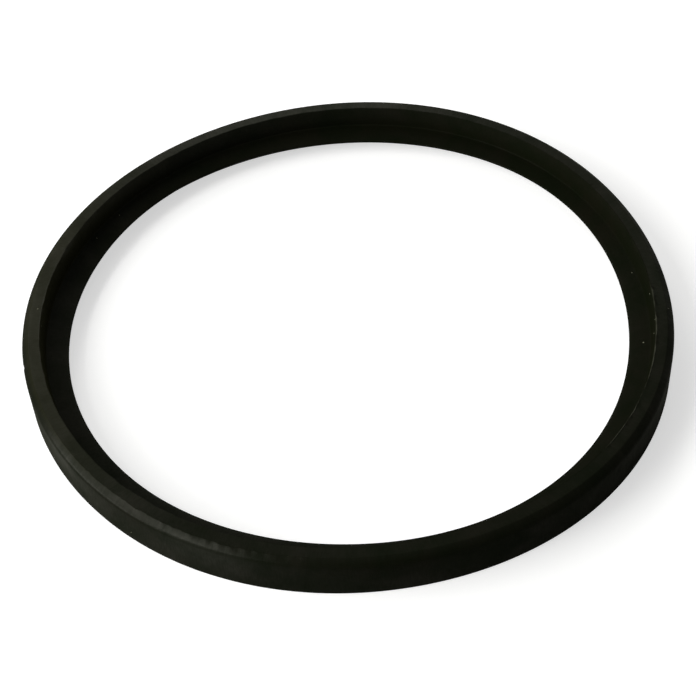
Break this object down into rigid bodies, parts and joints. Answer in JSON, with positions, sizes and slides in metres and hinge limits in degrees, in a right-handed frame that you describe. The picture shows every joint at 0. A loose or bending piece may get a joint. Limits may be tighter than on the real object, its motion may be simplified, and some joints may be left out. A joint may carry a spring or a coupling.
{
  "type": "sealing ring",
  "caption": "Round moulded rubber sealing ring with an L-shaped section: a low upright rim with a chamfered outer edge and a thin lip that reaches inwards.",
  "frame": {"origin": "middle of the ring at its flat base", "axes": "+Z is the ring's axis, from the flat base up to the top of the rim; the ring is lobed by a fraction of a millimetre as it lies, with its fullest swelling towards -40 degrees from +X"},
  "size_m": [0.0798, 0.0798, 0.0055],
  "materials": {
    "black_rubber": "matte black moulded rubber with a faint olive cast, a soft sheen and a little pale dust"
  },
  "bodies": {
    "root": {"sealing_ring": "black_rubber"}
  },
  "joints": []
}
